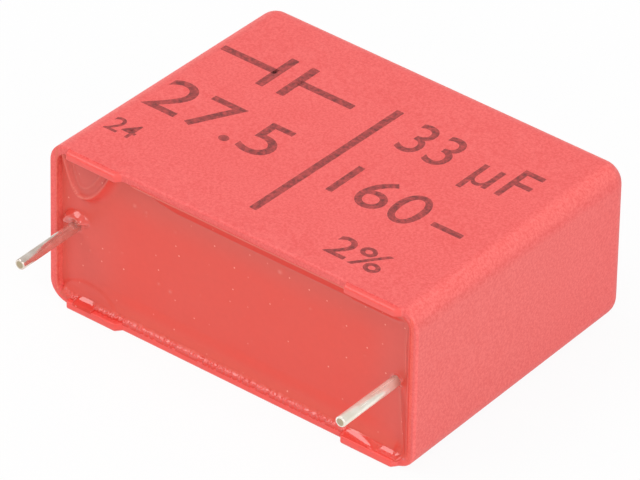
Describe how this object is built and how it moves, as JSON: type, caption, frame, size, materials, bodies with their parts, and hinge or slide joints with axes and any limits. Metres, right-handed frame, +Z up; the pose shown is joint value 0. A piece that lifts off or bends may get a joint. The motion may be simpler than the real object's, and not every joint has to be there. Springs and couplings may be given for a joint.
{
  "type": "box film capacitor",
  "caption": "Rounded plastic box film capacitor, resin-sealed at its open side, with stand-off feet and straight tinned leads for a circuit board.",
  "frame": {"origin": "middle of the broad side that the capacitor lies on", "axes": "+X along the line of the two leads, +Y from the leads' side to the closed end, +Z up to the printed broad side"},
  "size_m": [0.0314, 0.029, 0.013],
  "materials": {
    "case_plastic": "matte moulded polyester, salmon red, with a fine even grain",
    "resin": "glossy cast epoxy, a little deeper and more orange than the moulding",
    "metallised_film": "silvery metallised polyester film, wound and pressed flat",
    "cover_film": "clear amber polyester film",
    "sprayed_zinc": "rough matte sprayed zinc",
    "tinned_wire": "satin tin on copper, with a faint drawing grain",
    "print_ink": "thin dark red-brown printing ink"
  },
  "bodies": {
    "root": {"case": "case_plastic", "resin_seal": "resin", "film_winding": "metallised_film", "wrap_film": "cover_film", "end_spray_left": "sprayed_zinc", "end_spray_right": "sprayed_zinc", "lead_left": "tinned_wire", "lead_right": "tinned_wire"}
  },
  "joints": []
}
